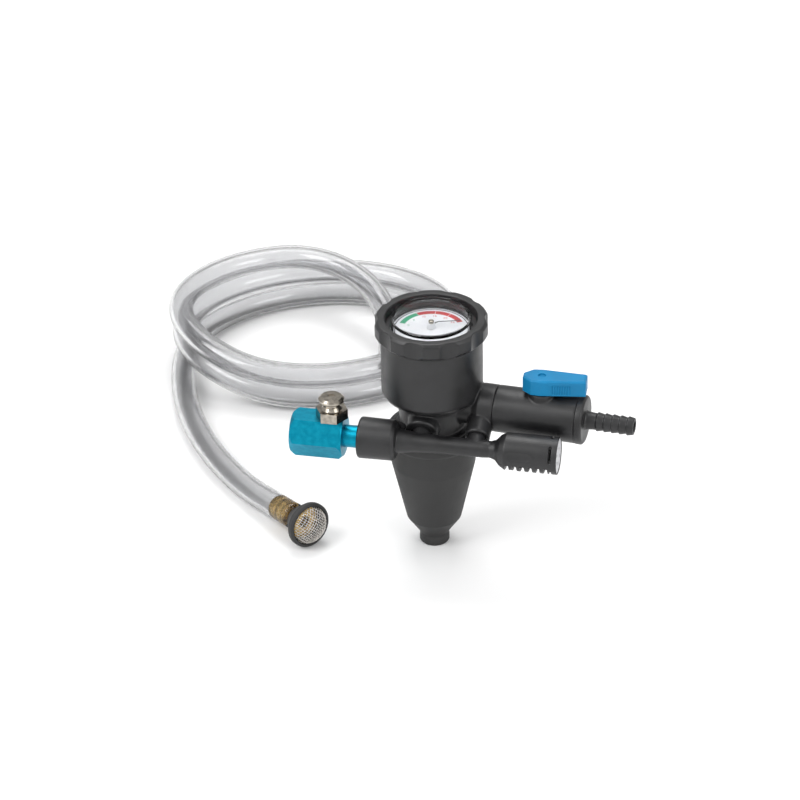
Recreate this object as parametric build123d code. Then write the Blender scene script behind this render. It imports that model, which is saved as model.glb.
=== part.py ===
"""Compressed-air vacuum pump for filling engine cooling systems, with its clear strainer hose.

Millimetres, +Z up. The origin is the centre of the rubber cone's bottom mouth, +X runs along the
venturi towards its muffler, and -Y is the side that carries the venturi.
"""

from build123d import *
import math
import os

# ---- driving dimensions -------------------------------------------------------------------
RUNNING_GAP = 0.05  # radial clearance of a shaft in its hole

# manifold: one black moulding with a gauge cup on top
CUP_RADIUS = 27.0
CUP_BORE = 22.3
CUP_RIM = 0.8  # how far the cup steps in where the lock ring turns on it
CUP_FLOOR_Z = 109.0
CUP_TOP_Z = 131.0
FLARE_TOP_Z = 97.0
NECK_TOP_Z = 88.0
NECK_RADIUS = 18.8
NECK_FOOT_RADIUS = 17.2
SPIGOT_RADIUS = 20.4
SPIGOT_LOW_Z = 57.0
SPIGOT_TOP_Z = 74.2
MAIN_BORE = 5.0
GAUGE_PORT_RADIUS = 4.0
ARM_PORT_RADIUS = 4.2

# lobed lock ring
RING_LOW_Z = 129.3
RING_TOP_Z = 139.5
RING_RADIUS = 30.2
RING_LOBES = 10
RING_TURN_DEG = 11.0
RING_WINDOW = 24.4

# vacuum gauge
BEZEL_RADIUS = 21.25
BEZEL_TOP_Z = 140.0
CASE_LOW_Z = 110.0
FLANGE_Z = 131.2
LENS_LOW_Z = 133.0
DIAL_RADIUS = 20.1
DIAL_Z = 132.4
DIAL_THICKNESS = 0.6
LENS_Z = 137.8
NEEDLE_RISE = 1.9  # height of the needle over the dial
HUB_RISE = 3.0
PIN_RISE = 4.6
POINTER_REST_DEG = 12.5

# venturi
VENTURI_Y = -29.0
VENTURI_Z = 79.5
SLEEVE_LEFT_X = -33.6
SLEEVE_RIGHT_X = -13.6
SLEEVE_RADIUS = 11.1
TUBE_RADIUS = 4.7
MUFFLER_LEFT_X = 39.5
MUFFLER_RIGHT_X = 73.0
MUFFLER_RADIUS = 10.0
MUFFLER_BORE = 8.2
DISC_RADIUS = 9.2
DISC_LEFT_X = 71.2
DISC_INSET = 0.4
SLOT_COUNT = 6
SLOT_FIRST_X = 46.5
SLOT_PITCH = 4.1
SLOT_WIDTH = 2.2
SLOT_TURN_DEG = 28.0  # the slots face down and a little forward
CLIP_X = 69.3
CLIP_TURN_DEG = 31.5
STUB_RADIUS = 4.75
STUB_TILT_DEG = 17.0
SOCKET_START = 6.6
SOCKET_REACH = 23.0
SOCKETS = ((-1.5, 8.7), (28.2, 6.7))  # each socket's X and outer radius

# inlet coupler and relief valve
HEX_LEFT_X = -69.6
HEX_RIGHT_X = -41.5
HEX_ACROSS_FLATS = 22.0
HEX_CHAMFER_RADIUS = 10.8
RELIEF_X = -48.2
RELIEF_ACROSS_FLATS = 15.0
RELIEF_NUT_HEIGHT = 5.6
RELIEF_HEIGHT = 9.6
WASHER_HEIGHT = 0.8
BUTTON_RADIUS = 6.9
BUTTON_HEIGHT = 3.2
INLET_RADIUS = 5.6
INLET_DEPTH = 12.0

# valve arm
ARM_Z = 89.0
ARM_TURN_DEG = -4.5
ARM_LEFT = 35.7
BONNET_LEFT = 80.0
BONNET_RIGHT = 84.0
ARM_BORE = 8.6
SEAM_RADIUS = 12.6  # where the valve body meets the elbow
ARM_RADIUS = 13.2
STEM_AT = 60.0
BALL_RADIUS = 8.0
BALL_BORE = 4.0
STEM_RADIUS = 3.5
LEVER_LOW_Z = 104.0
LEVER_TOP_Z = 113.0
LEVER_REACH = 23.6
LEVER_HALF_WIDTH = 6.6
LEVER_END_HALF_WIDTH = 4.3
LEVER_GROOVES = 8
LEVER_TURN_DEG = 7.0  # how far back from the arm the lever rests
BARB_TIP = 110.0
BARB_RADIUS = 5.1

# rubber cone adapter
CONE_TOP_Z = 72.5
MOUTH_BORE = 4.5

# port plug
PLUG_DISTANCE = 23.0
PLUG_BEARING_DEG = 158.0
PLUG_RADIUS = 8.0
PLUG_LOW_Z = 88.5
PLUG_TOP_Z = 102.5
PLUG_RIBS = 24

# clear hose
HOSE_DIAMETER = 14.3
HOSE_RADIUS = HOSE_DIAMETER / 2
CUFF_LENGTH = 18.0  # hose pushed over the brass barb
BARB_CORE_RADIUS = 4.75  # bore of the hose where it grips the brass barb
COIL_CENTRE = (-107.0, 182.0)
COIL_HALF_LENGTH = 81.0
COIL_HALF_WIDTH = 63.0
COIL_TURN_DEG = 20.0
COIL_BAND = 17.0
COIL_LAYERS = 3
TAIL_ROUTE = (
    (-88.5, 1.0, 10.2),
    (-111.0, 20.5, 7.2),
    (-132.0, 43.0, 7.2),
    (-150.0, 68.0, 7.2),
    (-164.5, 95.0, 7.2),
    (-175.0, 123.0, 7.2),
    (-181.0, 149.0, 7.2),
)
END_ROUTE = (
    (-122.0, 234.0, 35.7),
    (-101.0, 227.5, 34.5),
    (-82.0, 215.0, 30.5),
    (-68.0, 197.0, 23.0),
    (-61.0, 177.5, 14.5),
    (-59.5, 159.5, 8.0),
)
STRAINER_RING_RADIUS = 12.7


# ---- helpers ------------------------------------------------------------------------------
def turned(profile):
    """A solid turned about Z from (radius, height) points."""
    outline = Polyline(*[(radius, 0, height) for radius, height in profile], close=True)
    return revolve(make_face(outline), Axis.Z)


def rod(radius, low, high):
    """A cylinder about Z between two heights."""
    return Pos(0, 0, low) * Cylinder(radius, high - low, align=(Align.CENTER, Align.CENTER, Align.MIN))


def hexagon(across_flats, low, high):
    """A hexagonal bar about Z with flats square to X and Y's perpendicular."""
    outline = RegularPolygon(across_flats / 2, 6, major_radius=False)
    return Pos(0, 0, low) * extrude(outline, high - low)


def along_x(shape):
    """Lays a shape made about Z along X."""
    return Rotation(0, 90, 0) * shape


def on_venturi(shape):
    return Pos(0, VENTURI_Y, VENTURI_Z) * along_x(shape)


def on_arm(shape):
    return Pos(0, 0, ARM_Z) * Rotation(0, 0, ARM_TURN_DEG) * along_x(shape)


def upright_on_arm(shape, distance=STEM_AT):
    """Puts a shape made about Z on the arm, upright, at a distance along it."""
    return Rotation(0, 0, ARM_TURN_DEG) * Pos(distance, 0, 0) * shape


def on_stub(shape, x):
    """Points a shape made about Z from the venturi's axis back and up to the manifold."""
    return Pos(x, VENTURI_Y, VENTURI_Z) * Rotation(STUB_TILT_DEG - 90, 0, 0) * shape


def on_relief(shape):
    return Pos(RELIEF_X, VENTURI_Y, VENTURI_Z + HEX_ACROSS_FLATS / 2) * shape


def on_strainer(shape):
    """Lays a shape made about Z along the hose's end, from the hose out to the mesh."""
    mouth = Vector(*TAIL_ROUTE[0])
    return Plane(origin=mouth, z_dir=mouth - Vector(*TAIL_ROUTE[1])) * shape


def barb(start, stop, core, crest, count):
    """Profile points of a hose barb from its tip at stop back to start."""
    pitch = (stop - start) / count
    points = []
    for number in range(count):
        tip = stop - number * pitch
        points += [(core, tip), (crest, tip - pitch * 0.75), (crest, tip - pitch * 0.85)]
        points += [(core, tip - pitch * 0.9)]
    return points


def hose_tube(route, name):
    """A round tube on straight runs joined by arcs as large as the runs allow."""
    points = [Vector(*point) for point in route]
    radii = []
    for before, at, after in zip(points, points[1:], points[2:]):
        first_run = at - before
        second_run = after - at
        turn = math.radians(first_run.get_angle(second_run))
        shorter = min(first_run.length, second_run.length)
        radii.append(0.45 * shorter / math.tan(turn / 2))
    path = FilletPolyline(*points, radius=radii)
    print(name, "radii", [round(radius) for radius in radii], "length", round(path.length, 1))
    start = Plane(origin=points[0], z_dir=points[1] - points[0])
    tube = sweep(start * Circle(HOSE_RADIUS), path=path)
    share = tube.volume / (math.pi * HOSE_RADIUS**2 * path.length)
    print(name, "volume over section times length", round(share, 4))
    return tube


parts = {}

# ---- manifold -----------------------------------------------------------------------------
manifold = turned(
    [
        (0, SPIGOT_LOW_Z),
        (SPIGOT_RADIUS - 1, SPIGOT_LOW_Z),
        (SPIGOT_RADIUS, SPIGOT_LOW_Z + 1.5),
        (SPIGOT_RADIUS, SPIGOT_TOP_Z),
        (NECK_FOOT_RADIUS, SPIGOT_TOP_Z + 0.8),
        (NECK_RADIUS, NECK_TOP_Z),
        (NECK_RADIUS + 1.2, NECK_TOP_Z + 2.5),
        (23.0, FLARE_TOP_Z - 4.2),
        (CUP_RADIUS - 1.2, FLARE_TOP_Z - 2.2),
        (CUP_RADIUS, FLARE_TOP_Z),
        (CUP_RADIUS, RING_LOW_Z - 0.5),
        (CUP_RADIUS - CUP_RIM, RING_LOW_Z),
        (CUP_RADIUS - CUP_RIM, CUP_TOP_Z),
        (CUP_BORE, CUP_TOP_Z),
        (CUP_BORE, CUP_FLOOR_Z),
        (0, CUP_FLOOR_Z),
    ]
)
elbow = turned(
    [
        (0, 8),
        (11.0, 8),
        (10.2, 21.5),
        (10.2, 24.0),
        (SEAM_RADIUS, 27.5),
        (SEAM_RADIUS, ARM_LEFT),
        (0, ARM_LEFT),
    ]
)
manifold += on_arm(elbow)
for socket_x, socket_radius in SOCKETS:
    socket = turned(
        [
            (0, SOCKET_START),
            (socket_radius - 0.6, SOCKET_START),
            (socket_radius, SOCKET_START + 0.6),
            (socket_radius, SOCKET_REACH),
            (0, SOCKET_REACH),
        ]
    )
    manifold += on_stub(socket, socket_x)
manifold -= rod(40, SPIGOT_LOW_Z, SPIGOT_TOP_Z) - rod(SPIGOT_RADIUS, SPIGOT_LOW_Z, SPIGOT_TOP_Z)
plug_seat = Rotation(0, 0, PLUG_BEARING_DEG) * Pos(PLUG_DISTANCE, 0, 0)
manifold -= plug_seat * rod(PLUG_RADIUS + 0.5, PLUG_LOW_Z - 5, PLUG_TOP_Z + 0.5)
manifold -= plug_seat * rod(2.5, PLUG_TOP_Z, PLUG_TOP_Z + 4.5)
manifold -= rod(MAIN_BORE, SPIGOT_LOW_Z - 1, 97)
manifold -= rod(GAUGE_PORT_RADIUS, 96, CUP_FLOOR_Z + 1)
manifold -= on_arm(rod(ARM_PORT_RADIUS, 0, 29))
manifold -= on_arm(rod(8.0, 28, ARM_LEFT + 1))
for socket_x, socket_radius in SOCKETS:
    manifold -= on_stub(rod(STUB_RADIUS, 6.0, 18.0), socket_x)
manifold -= on_stub(rod(2.5, 17, 30), SOCKETS[0][0])
manifold -= on_stub(rod(2.5, 17, 27), SOCKETS[1][0])
parts["manifold"] = manifold

parts["port_plug_seal"] = plug_seat * (rod(5.5, PLUG_TOP_Z, PLUG_TOP_Z + 0.5) - rod(2.5, 0, 200))
rib_outline = []
for number in range(PLUG_RIBS * 2):
    rib_radius = PLUG_RADIUS if number % 2 else PLUG_RADIUS - 0.5
    rib_angle = math.radians(number * 180 / PLUG_RIBS)
    rib_outline.append((rib_radius * math.cos(rib_angle), rib_radius * math.sin(rib_angle)))
plug_face = make_face(Polyline(*rib_outline, close=True))
port_plug = Pos(0, 0, PLUG_LOW_Z) * extrude(plug_face, PLUG_TOP_Z - PLUG_LOW_Z)
plug_chamfer = turned(
    [
        (6.2, PLUG_LOW_Z),
        (8.6, PLUG_LOW_Z + 2.4),
        (8.6, PLUG_LOW_Z - 1),
        (6.2, PLUG_LOW_Z - 1),
    ]
)
port_plug -= plug_chamfer
port_plug += rod(2.5, PLUG_TOP_Z, PLUG_TOP_Z + 4)
parts["port_plug"] = plug_seat * port_plug

# ---- lock ring ----------------------------------------------------------------------------
ring = turned(
    [
        (CUP_RADIUS + 0.2, RING_LOW_Z),
        (RING_RADIUS - 2.2, RING_LOW_Z),
        (RING_RADIUS, RING_LOW_Z + 2.4),
        (RING_RADIUS, RING_TOP_Z - 1.6),
        (RING_RADIUS - 1.4, RING_TOP_Z),
        (RING_WINDOW, RING_TOP_Z),
        (RING_WINDOW, 134.4),
        (BEZEL_RADIUS + 0.3, 134.4),
        (BEZEL_RADIUS + 0.3, FLANGE_Z + 1.5),
        (CUP_RADIUS - 0.8, FLANGE_Z + 1.5),
        (CUP_RADIUS - 0.8, RING_LOW_Z + 0.5),
    ]
)
for number in range(RING_LOBES):
    scallop_angle = number * 360 / RING_LOBES + RING_TURN_DEG
    ring -= Rotation(0, 0, scallop_angle) * Pos(RING_RADIUS + 7.0, 0, 0) * rod(9.0, 120, 145)
parts["lock_ring"] = ring

# ---- gauge --------------------------------------------------------------------------------
parts["gauge_case"] = turned(
    [
        (5.0, CASE_LOW_Z),
        (BEZEL_RADIUS - 1.5, CASE_LOW_Z),
        (BEZEL_RADIUS, CASE_LOW_Z + 1.5),
        (BEZEL_RADIUS, FLANGE_Z),
        (CUP_RADIUS - 1.6, FLANGE_Z),
        (CUP_RADIUS - 1.6, FLANGE_Z + 1.5),
        (BEZEL_RADIUS, FLANGE_Z + 1.5),
        (BEZEL_RADIUS, LENS_LOW_Z),
        (DIAL_RADIUS, LENS_LOW_Z),
        (DIAL_RADIUS, DIAL_Z - DIAL_THICKNESS),
        (18.4, DIAL_Z - DIAL_THICKNESS),
        (18.4, DIAL_Z - 2.4),
        (19.2, DIAL_Z - 4.0),
        (19.2, CASE_LOW_Z + 1.6),
        (5.0, CASE_LOW_Z + 1.6),
    ]
)
parts["gauge_lens"] = turned(
    [
        (BEZEL_RADIUS, LENS_LOW_Z),
        (BEZEL_RADIUS, BEZEL_TOP_Z - 0.7),
        (BEZEL_RADIUS - 0.7, BEZEL_TOP_Z),
        (19.9, BEZEL_TOP_Z),
        (19.5, LENS_Z + 1.2),
        (0, LENS_Z + 1.2),
        (0, LENS_Z),
        (DIAL_RADIUS, LENS_Z),
        (DIAL_RADIUS, LENS_LOW_Z),
    ]
)
parts["dial_face"] = rod(DIAL_RADIUS, DIAL_Z - DIAL_THICKNESS, DIAL_Z) - rod(1.5, 0, 200)
parts["gauge_stem"] = (
    rod(4.0, 97, CASE_LOW_Z) + rod(5.0, CASE_LOW_Z, CASE_LOW_Z + 3) + rod(3.6, CASE_LOW_Z + 3, 116)
) - rod(1.0, 96, 115)
parts["gauge_seal"] = rod(7.0, CUP_FLOOR_Z, CASE_LOW_Z) - rod(4.0, 0, 200)
movement = rod(9.0, 120, 121.5) + rod(9.0, 129, 130.5)
for pillar_angle in (30, 150, 270):
    movement += Rotation(0, 0, pillar_angle) * Pos(7, 0, 0) * rod(1.2, 121.5, 129)
movement += rod(3.0, 116, 120)
movement -= rod(0.8 + RUNNING_GAP, 119, 140)
parts["gauge_movement"] = movement
tube_section = Plane.XZ * Pos(14.0, 118.0) * Rectangle(1.6, 5.0)
bourdon = revolve(tube_section, Axis.Z, 270)
bourdon += Pos(8.8, 0, 118.0) * Box(10.4, 3.0, 3.0)
bourdon -= rod(3.6, 110, 125)
parts["bourdon_tube"] = bourdon
needle_z = DIAL_Z + NEEDLE_RISE
needle_points = ((0, -0.7), (3.9, 2.6), (15.4, 3.3), (15.4, 3.7), (3.7, 3.3), (-0.7, 0.4))
needle_outline = Polyline(*needle_points, close=True)
pointer = Pos(0, 0, needle_z) * extrude(make_face(needle_outline), 0.3)
pointer += turned(
    [
        (0, DIAL_Z + 0.4),
        (2.4, DIAL_Z + 0.4),
        (1.7, DIAL_Z + HUB_RISE),
        (0, DIAL_Z + HUB_RISE),
    ]
)
pointer += rod(1.4, DIAL_Z + HUB_RISE, DIAL_Z + PIN_RISE)
pointer += rod(0.8, 119.5, DIAL_Z + 0.4)
parts["pointer"] = Rotation(0, 0, POINTER_REST_DEG) * pointer

# ---- venturi ------------------------------------------------------------------------------
venturi = turned(
    [
        (0, SLEEVE_LEFT_X),
        (SLEEVE_RADIUS - 0.8, SLEEVE_LEFT_X),
        (SLEEVE_RADIUS, SLEEVE_LEFT_X + 0.8),
        (SLEEVE_RADIUS - 0.2, SLEEVE_RIGHT_X - 1.5),
        (SLEEVE_RADIUS - 1.6, SLEEVE_RIGHT_X),
        (6.6, SLEEVE_RIGHT_X + 0.8),
        (5.4, -4),
        (TUBE_RADIUS, 14),
        (TUBE_RADIUS, MUFFLER_LEFT_X - 6),
        (4.4, MUFFLER_LEFT_X - 3),
        (5.4, MUFFLER_LEFT_X),
        (MUFFLER_RADIUS - 1.8, MUFFLER_LEFT_X + 2.5),
        (MUFFLER_RADIUS, MUFFLER_LEFT_X + 5.5),
        (MUFFLER_RADIUS, MUFFLER_RIGHT_X),
        (0, MUFFLER_RIGHT_X),
    ]
)
venturi = on_venturi(venturi)
for socket_x, socket_radius in SOCKETS:
    venturi += on_stub(rod(STUB_RADIUS, 0, 15.5), socket_x)
gusset_points = ((-24.0, 9.5), (-15.0, 13.0), (-10.7, 11.0), (-10.7, 5.0), (-16.0, 7.0))
gusset_outline = Polyline(*gusset_points, close=True)
gusset = extrude(Plane.XZ * make_face(gusset_outline), 1.2, both=True)
venturi += on_stub(gusset, 0)
venturi -= on_venturi(rod(6.0, SLEEVE_LEFT_X - 1, SLEEVE_LEFT_X + 9))
venturi -= on_venturi(rod(4.2, SLEEVE_LEFT_X + 8, SLEEVE_LEFT_X + 21))
throat = turned(
    [
        (0, -15),
        (4.2, -15),
        (1.8, -6),
        (1.8, 6),
        (2.8, MUFFLER_LEFT_X + 1),
        (0, MUFFLER_LEFT_X + 1),
    ]
)
muffler_room = turned(
    [
        (0, MUFFLER_LEFT_X),
        (3.0, MUFFLER_LEFT_X),
        (MUFFLER_BORE, MUFFLER_LEFT_X + 7),
        (MUFFLER_BORE, DISC_LEFT_X),
        (DISC_RADIUS, DISC_LEFT_X),
        (DISC_RADIUS, MUFFLER_RIGHT_X + 1),
        (0, MUFFLER_RIGHT_X + 1),
    ]
)
venturi -= on_venturi(throat)
venturi -= on_venturi(muffler_room)
for socket_x, socket_radius in SOCKETS:
    venturi -= on_stub(rod(1.8, 0, 17), socket_x)
cuts = []
for number in range(SLOT_COUNT):
    slot_x = SLOT_FIRST_X + number * SLOT_PITCH
    slot = Pos(slot_x, 0, -MUFFLER_RADIUS) * Box(SLOT_WIDTH, 13.0, 7.6)
    cuts.append(Rotation(-SLOT_TURN_DEG, 0, 0) * slot)
for quarter in range(4):
    window = Pos(CLIP_X, -MUFFLER_RADIUS, 0) * Box(1.4, 4.0, 9.0)
    cuts.append(Rotation(quarter * 90 - CLIP_TURN_DEG, 0, 0) * window)
scoop = along_x(rod(6.0, 49.0, 57.0)) + Pos(49.0, 0, 0) * Sphere(6.0) + Pos(57.0, 0, 0) * Sphere(6.0)
cuts.append(Rotation(-15, 0, 0) * Pos(0, -MUFFLER_RADIUS - 5.1, 0) * scoop)
for cut in cuts:
    venturi -= Pos(0, VENTURI_Y, VENTURI_Z) * cut
for number in range(len(SOCKETS)):
    o_ring_groove = rod(6.0, 9.0, 10.8) - rod(3.7, 9.0, 10.8)
    venturi -= on_stub(o_ring_groove, SOCKETS[number][0])
parts["venturi_body"] = venturi

stub_o_rings = []
for socket_x, socket_radius in SOCKETS:
    stub_o_rings.append(on_stub(rod(STUB_RADIUS, 9.0, 10.8) - rod(3.7, 9.0, 10.8), socket_x))
parts["stub_o_rings"] = Compound(children=stub_o_rings)
nozzle = turned(
    [
        (1.6, SLEEVE_LEFT_X + 9),
        (4.2, SLEEVE_LEFT_X + 9),
        (4.2, SLEEVE_LEFT_X + 15),
        (1.6, SLEEVE_LEFT_X + 21),
        (0.7, SLEEVE_LEFT_X + 21),
    ]
)
parts["venturi_nozzle"] = on_venturi(nozzle)
felt_right = CLIP_X - 0.9
felt = rod(MUFFLER_BORE - 1.9, MUFFLER_LEFT_X + 7.5, felt_right) - rod(4.0, MUFFLER_LEFT_X, MUFFLER_RIGHT_X)
parts["muffler_felt"] = on_venturi(felt)
disc_face = MUFFLER_RIGHT_X - DISC_INSET
end_disc = turned(
    [
        (0, DISC_LEFT_X - 0.6),
        (MUFFLER_BORE, DISC_LEFT_X - 0.6),
        (MUFFLER_BORE, DISC_LEFT_X),
        (DISC_RADIUS, DISC_LEFT_X),
        (DISC_RADIUS, disc_face),
        (0, disc_face),
    ]
)
for hole_angle in range(0, 360, 60):
    disc_hole = rod(1.1, DISC_LEFT_X - 2, MUFFLER_RIGHT_X + 1)
    end_disc -= Rotation(0, 0, hole_angle) * Pos(4.6, 0, 0) * disc_hole
parts["muffler_end_disc"] = on_venturi(end_disc)

# ---- inlet coupler and relief valve -------------------------------------------------------
coupler = Rotation(0, 0, 90) * hexagon(HEX_ACROSS_FLATS, HEX_LEFT_X, HEX_RIGHT_X)
hex_trim = turned(
    [
        (0, HEX_LEFT_X),
        (HEX_CHAMFER_RADIUS, HEX_LEFT_X),
        (HEX_CHAMFER_RADIUS + 2.0, HEX_LEFT_X + 2.4),
        (HEX_CHAMFER_RADIUS + 2.0, HEX_RIGHT_X - 2.4),
        (HEX_CHAMFER_RADIUS, HEX_RIGHT_X),
        (0, HEX_RIGHT_X),
    ]
)
coupler &= hex_trim
coupler += rod(6.0, HEX_RIGHT_X, SLEEVE_LEFT_X + 9)
coupler -= rod(INLET_RADIUS, HEX_LEFT_X - 1, HEX_LEFT_X + INLET_DEPTH)
coupler -= rod(3.2, HEX_LEFT_X, SLEEVE_LEFT_X + 10)
coupler = on_venturi(coupler)
coupler -= on_relief(rod(4.0, -6.5, 1))
coupler -= on_relief(rod(1.6, -12, 1))
parts["inlet_coupler"] = coupler

relief_body = rod(4.0, -6.5, 0) + hexagon(RELIEF_ACROSS_FLATS, 0, RELIEF_NUT_HEIGHT)
relief_body += turned(
    [
        (0, RELIEF_NUT_HEIGHT),
        (5.6, RELIEF_NUT_HEIGHT),
        (4.4, RELIEF_NUT_HEIGHT + 1.6),
        (4.4, RELIEF_HEIGHT),
        (0, RELIEF_HEIGHT),
    ]
)
relief_body -= rod(2.4, -1.5, RELIEF_HEIGHT + 1)
relief_body -= rod(1.2, -7, 0)
parts["relief_body"] = on_relief(relief_body)
button_low = RELIEF_HEIGHT + 0.1
button_top = button_low + BUTTON_HEIGHT
button = turned(
    [
        (0, -0.7),
        (2.0, -0.7),
        (2.0, 0.3),
        (1.0, 0.3),
        (1.0, button_low),
        (BUTTON_RADIUS - 0.8, button_low),
        (BUTTON_RADIUS, button_low + 0.9),
        (BUTTON_RADIUS, button_top - 1.3),
        (BUTTON_RADIUS - 1.4, button_top - 0.2),
        (2.0, button_top),
        (2.0, button_top - 0.5),
        (0, button_top - 0.5),
    ]
)
parts["relief_button"] = on_relief(button)
parts["relief_seal"] = on_relief(rod(2.0, -1.4, -0.75) - rod(1.25, -2, 1))
washer_low = RELIEF_HEIGHT - WASHER_HEIGHT
relief_spring = rod(2.2, 0.4, washer_low) - rod(1.3, 0, RELIEF_HEIGHT)
relief_washer = rod(2.4, washer_low, RELIEF_HEIGHT) - rod(1.0 + RUNNING_GAP, 0, RELIEF_HEIGHT + 1)
parts["relief_spring"] = on_relief(relief_spring)
parts["relief_washer"] = on_relief(relief_washer)

# ---- ball valve arm -----------------------------------------------------------------------
valve = rod(8.0, 28.5, ARM_LEFT) + turned(
    [
        (0, ARM_LEFT),
        (SEAM_RADIUS, ARM_LEFT),
        (ARM_RADIUS - 0.4, STEM_AT),
        (ARM_RADIUS - 0.2, BONNET_LEFT),
        (0, BONNET_LEFT),
    ]
)
valve -= rod(BALL_BORE, 28, STEM_AT)
valve -= rod(ARM_BORE, STEM_AT - 11, BONNET_LEFT + 1)
valve = on_arm(valve)
valve += upright_on_arm(rod(7.2, ARM_Z + 9.5, LEVER_LOW_Z - 0.4))
valve -= upright_on_arm(rod(STEM_RADIUS + RUNNING_GAP, ARM_Z + 6, 120))
parts["valve_body"] = valve

ball = Sphere(BALL_RADIUS) - rod(BALL_BORE, -10, 10)
ball = Rotation(0, 90, 0) * ball
ball -= Pos(0, 0, BALL_RADIUS - 0.9) * Box(1.8, 5.0, 1.8)
ball = Pos(0, 0, ARM_Z) * ball
parts["valve_ball"] = upright_on_arm(ball)
seat_gap_ball = Sphere(BALL_RADIUS + RUNNING_GAP)
seats = []
for side in (-1, 1):
    seat = rod(ARM_BORE, 5.0, 8.6) - rod(BALL_BORE + 0.4, 0, 10) - seat_gap_ball
    seat = Rotation(0, 90 * side, 0) * seat
    seats.append(upright_on_arm(Pos(0, 0, ARM_Z) * seat))
parts["ball_seats"] = Compound(children=seats)
stem = rod(STEM_RADIUS, ARM_Z + BALL_RADIUS + 0.1, LEVER_LOW_Z + 6)
stem += Pos(0, 0, ARM_Z + BALL_RADIUS - 0.75) * Box(1.8, 4.6, 1.8)
stem -= rod(4.5, 99.0, 100.6) - rod(2.6, 98, 101)
parts["valve_stem"] = upright_on_arm(stem)
parts["stem_o_ring"] = upright_on_arm(rod(STEM_RADIUS, 99.0, 100.6) - rod(2.6, 98, 101))

bonnet_profile = [
    (3.0, BONNET_LEFT - 6.5),
    (ARM_BORE, BONNET_LEFT - 6.5),
    (ARM_BORE, BONNET_LEFT),
    (ARM_RADIUS, BONNET_LEFT),
    (ARM_RADIUS, BONNET_RIGHT - 1.0),
    (ARM_RADIUS - 1.0, BONNET_RIGHT),
    (5.4, BONNET_RIGHT),
    (4.85, BONNET_RIGHT + 0.8),
]
bonnet_profile += list(reversed(barb(BONNET_RIGHT + 5.5, BARB_TIP, 4.4, BARB_RADIUS, 5)))
bonnet_profile += [(3.0, BARB_TIP)]
parts["barb_bonnet"] = on_arm(turned(bonnet_profile))

lever_side = ((-10.0, 2.2), (-5.2, 6.2), (0.0, LEVER_HALF_WIDTH), (LEVER_REACH, LEVER_END_HALF_WIDTH))
other_side = [(x, -y) for x, y in reversed(lever_side)]
lever_outline = Polyline(*lever_side, *other_side, close=True)
lever = Pos(0, 0, LEVER_LOW_Z) * extrude(make_face(lever_outline), LEVER_TOP_Z - LEVER_LOW_Z)
lever = chamfer(lever.faces().sort_by(Axis.Z)[-1].edges(), 0.9)
lever -= rod(STEM_RADIUS, LEVER_LOW_Z - 1, LEVER_LOW_Z + 6)
lever -= rod(2.0, LEVER_TOP_Z - 1.2, LEVER_TOP_Z + 1)
taper = (LEVER_HALF_WIDTH - LEVER_END_HALF_WIDTH) / LEVER_REACH
for side in (-1, 1):
    for number in range(LEVER_GROOVES):
        groove_x = 6.2 + number * 1.28
        groove_y = side * (LEVER_HALF_WIDTH - taper * groove_x)
        lever -= Pos(groove_x, groove_y, LEVER_LOW_Z + 3.4) * Box(0.6, 0.9, 5.6)
parts["lever"] = upright_on_arm(Rotation(0, 0, LEVER_TURN_DEG) * lever)

# ---- rubber cone adapter ------------------------------------------------------------------
parts["cone_adapter"] = turned(
    [
        (MOUTH_BORE, 0),
        (7.6, 0),
        (8.15, 0.8),
        (8.15, 4.2),
        (7.65, 5.0),
        (7.9, 6.4),
        (14.9, 16.7),
        (22.7, 51.7),
        (23.9, 66.0),
        (24.6, 67.0),
        (24.6, CONE_TOP_Z - 0.6),
        (24.0, CONE_TOP_Z),
        (SPIGOT_RADIUS, CONE_TOP_Z),
        (SPIGOT_RADIUS, 56.0),
        (15.0, 40.0),
        (8.0, 16.0),
        (MOUTH_BORE, 10.0),
    ]
)
parts["adapter_tube"] = rod(MAIN_BORE, 20.0, 70.0) - rod(3.6, 19, 71)

# ---- clear hose ---------------------------------------------------------------------------
coil_outer = Ellipse(COIL_HALF_LENGTH + COIL_BAND / 2, COIL_HALF_WIDTH + COIL_BAND / 2)
coil_inner = Ellipse(COIL_HALF_LENGTH - COIL_BAND / 2, COIL_HALF_WIDTH - COIL_BAND / 2)
coil = extrude(coil_outer - coil_inner, COIL_LAYERS * HOSE_DIAMETER)
parts["hose_coil"] = Pos(COIL_CENTRE[0], COIL_CENTRE[1], 0) * Rotation(0, 0, COIL_TURN_DEG) * coil
parts["hose_tail"] = hose_tube(TAIL_ROUTE, "hose_tail")
parts["hose_end"] = hose_tube(END_ROUTE, "hose_end")

# ---- strainer -----------------------------------------------------------------------------
strainer_profile = [(3.4, 0.0)]
strainer_profile += list(reversed(barb(CUFF_LENGTH, 0.0, 4.3, BARB_CORE_RADIUS, 4)))
strainer_profile += [(BARB_CORE_RADIUS, CUFF_LENGTH), (BARB_CORE_RADIUS, 24.0)]
strainer_profile += [(9.0, 24.0), (9.0, 26.0), (3.4, 26.0)]
parts["strainer_barb"] = on_strainer(turned(strainer_profile))
cuff = rod(HOSE_RADIUS, 0, CUFF_LENGTH) - rod(BARB_CORE_RADIUS, -1, CUFF_LENGTH + 1)
parts["hose_cuff"] = on_strainer(cuff)
parts["strainer_ring"] = on_strainer(
    turned(
        [
            (BARB_CORE_RADIUS, CUFF_LENGTH + 1),
            (6.6, CUFF_LENGTH + 1),
            (8.6, 22.6),
            (11.4, 26.6),
            (STRAINER_RING_RADIUS, 28.6),
            (STRAINER_RING_RADIUS, 31.0),
            (11.6, 31.8),
            (10.8, 31.8),
            (10.8, 29.0),
            (9.0, 26.0),
            (9.0, 24.0),
            (BARB_CORE_RADIUS, 24.0),
        ]
    )
)
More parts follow.
